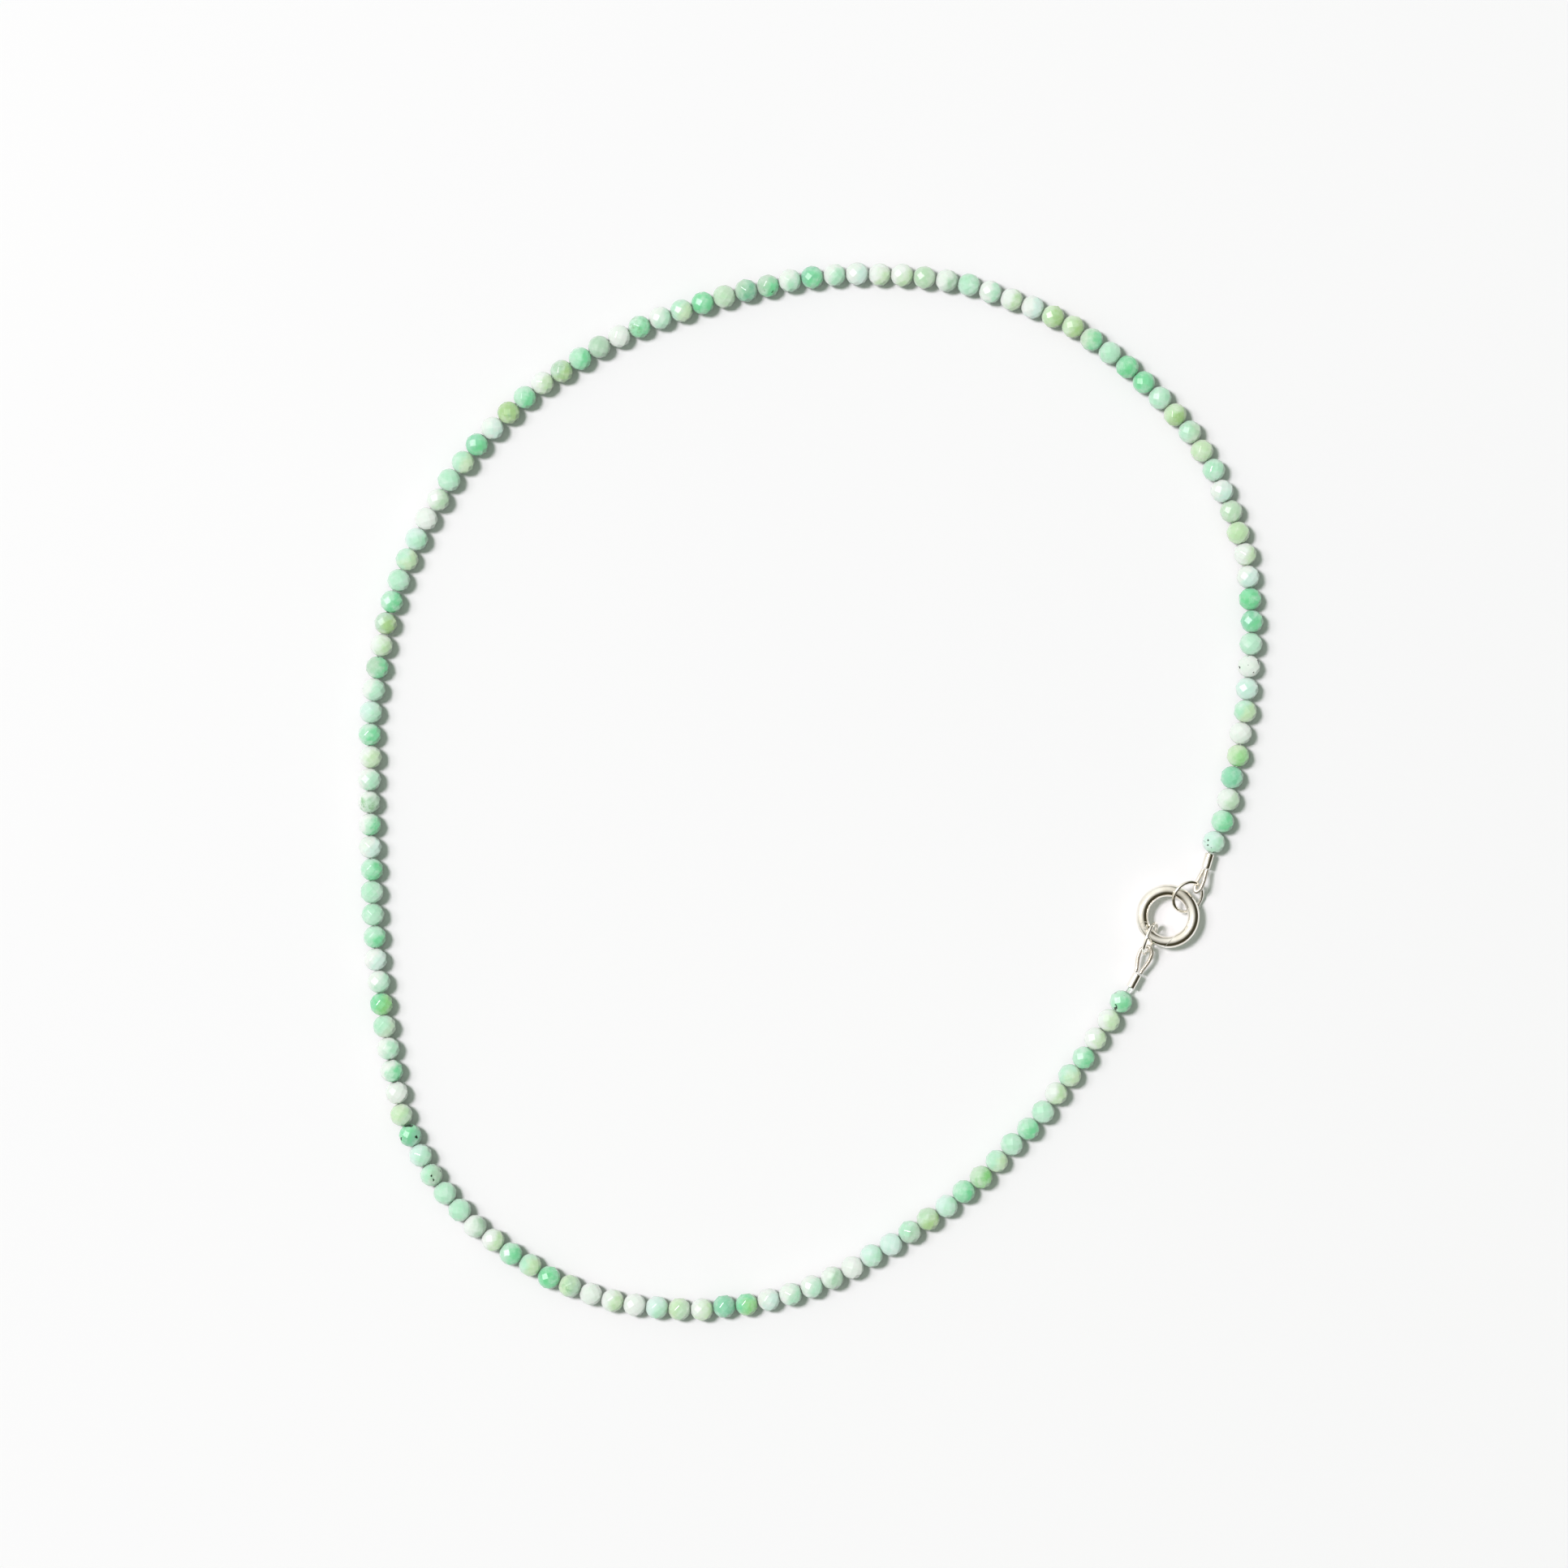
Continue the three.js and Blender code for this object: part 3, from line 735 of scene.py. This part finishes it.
def join(piece, operation, other):
    """The boolean of two solids, which leaves only the result."""
    modifier = piece.modifiers.new("boolean", "BOOLEAN")
    modifier.operation = operation
    modifier.object = other
    modifier.solver = "EXACT"
    graph = bpy.context.evaluated_depsgraph_get()
    mesh = bpy.data.meshes.new_from_object(piece.evaluated_get(graph))
    piece.modifiers.clear()
    piece.data = mesh
    bpy.data.objects.remove(other)
    return piece


def finished(name, piece, body, node, rounding):
    """A clasp part: its mesh goes to its place with its edges rounded."""
    mesh = piece.data
    bpy.data.objects.remove(piece)
    mesh.materials.clear()
    mesh.transform(Matrix.Translation(clasp_centre))
    mesh.shade_smooth()
    result = add(name, mesh, body, SILVER, "silver", node)
    bevel(result, rounding, segments=3, angle=35).harden_normals = True
    result.modifiers.new("normals", "WEIGHTED_NORMAL").keep_sharp = True


def clasp():
    space = KNUCKLE_DIAMETER + 2 * HINGE_CLEARANCE
    bore = PIN_DIAMETER + 2 * HINGE_CLEARANCE
    tongue = join(torus(CLASP_TUBE), "INTERSECT", disc(2 * KNUCKLE_DIAMETER, TONGUE_THICKNESS))
    beside = join(gate_zone(0), "DIFFERENCE", disc(KNUCKLE_DIAMETER, TONGUE_THICKNESS))
    tongue = join(tongue, "DIFFERENCE", beside)
    ring = join(torus(CLASP_TUBE), "DIFFERENCE", gate_zone(0))
    ring = join(ring, "DIFFERENCE", disc(space, 2 * CLASP_TUBE))
    ring = join(ring, "UNION", tongue)
    ring = join(ring, "DIFFERENCE", disc(bore, 2 * CLASP_TUBE))
    finished("clasp_hoop", ring, "root", "clasp_ring", ROUNDING)
    zone = join(gate_zone(HINGE_CLEARANCE), "UNION", disc(KNUCKLE_DIAMETER, 2 * CLASP_TUBE))
    gate = join(torus(GATE_TUBE), "INTERSECT", zone)
    gate = join(gate, "DIFFERENCE", disc(space, TONGUE_THICKNESS + 2 * HINGE_CLEARANCE))
    gate = join(gate, "DIFFERENCE", disc(bore, 2 * CLASP_TUBE))
    finished("clasp_arm", gate, "gate", "clasp_gate", ROUNDING)
    cheek = math.sqrt(GATE_TUBE ** 2 - PIN_DIAMETER ** 2)
    finished("clasp_rivet", disc(PIN_DIAMETER, cheek, sides=32), "root", "hinge_pin", PIN_ROUNDING)


# Jump rings

RING_STEPS = 96
RING_SIDES = 20
# Half the gap at a ring's seam
SEAM_GAP = 0.03 * MM


def jump_place(ring):
    centre = clasp_centre + heading(ring["angle"]) * (clasp_radius + ring["reach"])
    centre.z = ring_height(ring)
    tilt = math.radians(ring["tilt"])
    rising = heading(ring["heading"] + 90 * ring["high_side"]) * math.cos(tilt) + UP * math.sin(tilt)
    return dict(centre=centre, level=heading(ring["heading"]), rising=rising)


def on_ring(place, degrees):
    turn = math.radians(degrees)
    out = place["level"] * math.cos(turn) + place["rising"] * math.sin(turn)
    return place["centre"] + out * ring_radius


def jump_ring(name, place, seam):
    """A ring of round wire with its two ends butted at the seam."""
    gap = math.degrees(SEAM_GAP / ring_radius)
    turns = [seam + gap + (360 - 2 * gap) * i / RING_STEPS for i in range(RING_STEPS + 1)]
    wire = tube([on_ring(place, turn) for turn in turns], JUMP_WIRE / 2, RING_SIDES)
    piece = add(name + "_wire", mesh_of(name, *wire), "root", SILVER, "silver", name)
    bevel(piece, ROUNDING, segments=2, angle=50).harden_normals = True


# Loops of fine coil on the thread

# Half of a loop's outline: shares of its length, and of the way out from the legs to its widest place
LOOP_LEG = ((0, 0), (0.12, 0.06), (0.35, 0.62), (0.62, 1), (0.87, 0.68))
SPAN_STEPS = 40
COIL_WIRE = 0.13 * MM
COIL_SIDES = 6
# The room that a turn of the coil takes, in wires, and its steps
TURN_ROOM = 1.06
TURN_STEPS = 12
# The core's path takes every so many of the coil's steps, and its width is this share of the thread's
CORE_STRIDE = 6
CORE_SIDES = 10
CORE_SHARE = 0.8


def smooth_path(stops, samples):
    """An even path through the stops, by the same centripetal curve as the CAD model's."""
    points = [Vector(p) for p in stops]
    points = [2 * points[0] - points[1]] + points + [2 * points[-1] - points[-2]]
    path = []
    for i in range(len(points) - 3):
        p0, p1, p2, p3 = points[i:i + 4]
        d0, d1, d2 = (max((b - a).length ** 0.5, 1e-9) for a, b in ((p0, p1), (p1, p2), (p2, p3)))
        m1 = ((p1 - p0) / d0 - (p2 - p0) / (d0 + d1) + (p2 - p1) / d1) * d1
        m2 = ((p2 - p1) / d1 - (p3 - p1) / (d1 + d2) + (p3 - p2) / d2) * d1
        for k in range(SPAN_STEPS):
            t = k / SPAN_STEPS
            path.append(p1 + m1 * t + (3 * (p2 - p1) - 2 * m1 - m2) * t ** 2
                        + (2 * (p1 - p2) + m1 + m2) * t ** 3)
    path.append(points[-2])
    flat = np.array(path)
    lengths = np.concatenate([[0], np.cumsum(np.linalg.norm(np.diff(flat, axis=0), axis=1))])
    even = np.linspace(0, lengths[-1], samples)
    return [Vector([np.interp(d, lengths, flat[:, k]) for k in range(3)]) for d in even], lengths[-1]


def thread_loop(name, place, wire, across, width):
    """Fine wire wound into a tight coil that goes from the crimp round the jump ring and back."""
    start = place["mouth"] + place["axis"] * LOOP_CLEARANCE
    reach = wire - start
    length = reach.length + LOOP_SLACK
    forward = reach.normalized()
    sideways = (across - forward * across.dot(forward)).normalized()
    spread = (width - LEG_SPACING) / 2
    leg = [(share, LEG_SPACING / 2 + part * spread) for share, part in LOOP_LEG]
    outline = leg + [(1, 0)] + [(share, -out) for share, out in reversed(leg)]
    stops = [start + forward * share * length + sideways * out for share, out in outline]
    _, total = smooth_path(stops, 2)
    turns = int(total / (COIL_WIRE * TURN_ROOM))
    path, _ = smooth_path(stops, turns * TURN_STEPS + 1)
    radius = (COIL_DIAMETER - COIL_WIRE) / 2
    plane = forward.cross(sideways)
    winding = []
    for i, centre in enumerate(path):
        ahead = (path[min(i + 1, len(path) - 1)] - path[max(i - 1, 0)]).normalized()
        other = plane.cross(ahead).normalized()
        turn = 2 * math.pi * i / TURN_STEPS
        winding.append(centre + (plane * math.cos(turn) + other * math.sin(turn)) * radius)
    coil = mesh_of(name, *tube(winding, COIL_WIRE / 2, COIL_SIDES))
    add(name + "_coil", coil, "root", COIL_SILVER, "coil_silver", name)
    core = tube(path[::CORE_STRIDE], THREAD_DIAMETER / 2 * CORE_SHARE, CORE_SIDES)
    add(name + "_core", mesh_of(name + "_core", *core), "root", THREAD, "coil_silver")


middle = bead_count // 2
beads("beads_upper", 0, middle - 1, "bead_strand_upper")
beads("beads_lower", middle, bead_count - 1, "bead_strand_lower")
thread("thread_upper", 0, middle * pitch, crimp_at_start=True)
thread("thread_lower", middle * pitch, route_length, crimp_at_end=True)
crimp("crimp_upper", upper_crimp)
crimp("crimp_lower", lower_crimp)
clasp()
upper_jump = jump_place(UPPER_RING)
lower_jump = jump_place(LOWER_RING)
jump_ring("jump_ring_upper", upper_jump, seam=130)
jump_ring("jump_ring_lower", lower_jump, seam=200)
square = upper_jump["rising"].cross(upper_crimp["axis"])
thread_loop("thread_loop_upper", upper_crimp, on_ring(upper_jump, 0), square, UPPER_LOOP_WIDTH)
level = UP.cross(lower_crimp["axis"])
thread_loop("thread_loop_lower", lower_crimp, on_ring(lower_jump, -LOWER_HANG), level, LOWER_LOOP_WIDTH)


# Floor, lamps and sky

FLOOR_SIZE = 6.0
LAMP_TINT = (1.0, 0.931, 0.998)
LAMP_DISTANCE = 5.0
BRIGHT_SIDE = Vector((-0.62, 0.45, 0.64))
GLOSS_DARK = (0.058, 0.051, 0.031)
GLOSS_WHITE = (1.12, 1.11, 1.06)
AMBIENT = (0.27, 0.325, 0.276)
BACKDROP = (0.93, 0.93, 0.93)


def lay_floor():
    half = FLOOR_SIZE / 2
    corners = [(-half, -half, 0), (half, -half, 0), (half, half, 0), (-half, half, 0)]
    mesh = bpy.data.meshes.new("floor")
    mesh.from_pydata(corners, [], [(0, 1, 2, 3)])
    mesh.materials.append(floor_material())
    floor = bpy.data.objects.new("floor", mesh)
    bpy.context.collection.objects.link(floor)


def lamp(name, direction, size, power):
    data = bpy.data.lights.new(name, "AREA")
    data.color = LAMP_TINT
    data.shape = "DISK"
    data.size = size
    data.energy = power
    light = bpy.data.objects.new(name, data)
    light.location = direction.normalized() * LAMP_DISTANCE
    light.rotation_euler = direction.to_track_quat("Z", "Y").to_euler()
    bpy.context.collection.objects.link(light)


def sky():
    """A studio that gloss sees white on the upper left and dark on the lower right. Soft light is even."""
    world = bpy.data.worlds.new("studio")
    bpy.context.scene.world = world
    world.use_nodes = True
    nodes, links = world.node_tree.nodes, world.node_tree.links
    towards = nodes.new("ShaderNodeVectorMath")
    towards.operation = "DOT_PRODUCT"
    links.new(nodes.new("ShaderNodeTexCoord").outputs["Generated"], towards.inputs[0])
    towards.inputs[1].default_value = BRIGHT_SIDE.normalized()
    share = ramp(nodes, links, towards.outputs["Value"], low=0.06, high=0.95)
    share.node.interpolation_type = "SMOOTHSTEP"
    gloss = mix(nodes, links, share, GLOSS_DARK, GLOSS_WHITE)
    rays = nodes.new("ShaderNodeLightPath").outputs
    shown = mix(nodes, links, rays["Is Diffuse Ray"], gloss, AMBIENT)
    shown = mix(nodes, links, rays["Is Camera Ray"], shown, BACKDROP)
    links.new(shown, nodes["Background"].inputs["Color"])


lay_floor()
lamp("lamp_high", SHADOW_LAMP, size=1.1, power=187)
lamp("lamp_left", FLASH_LAMP, size=1.06, power=31)
sky()
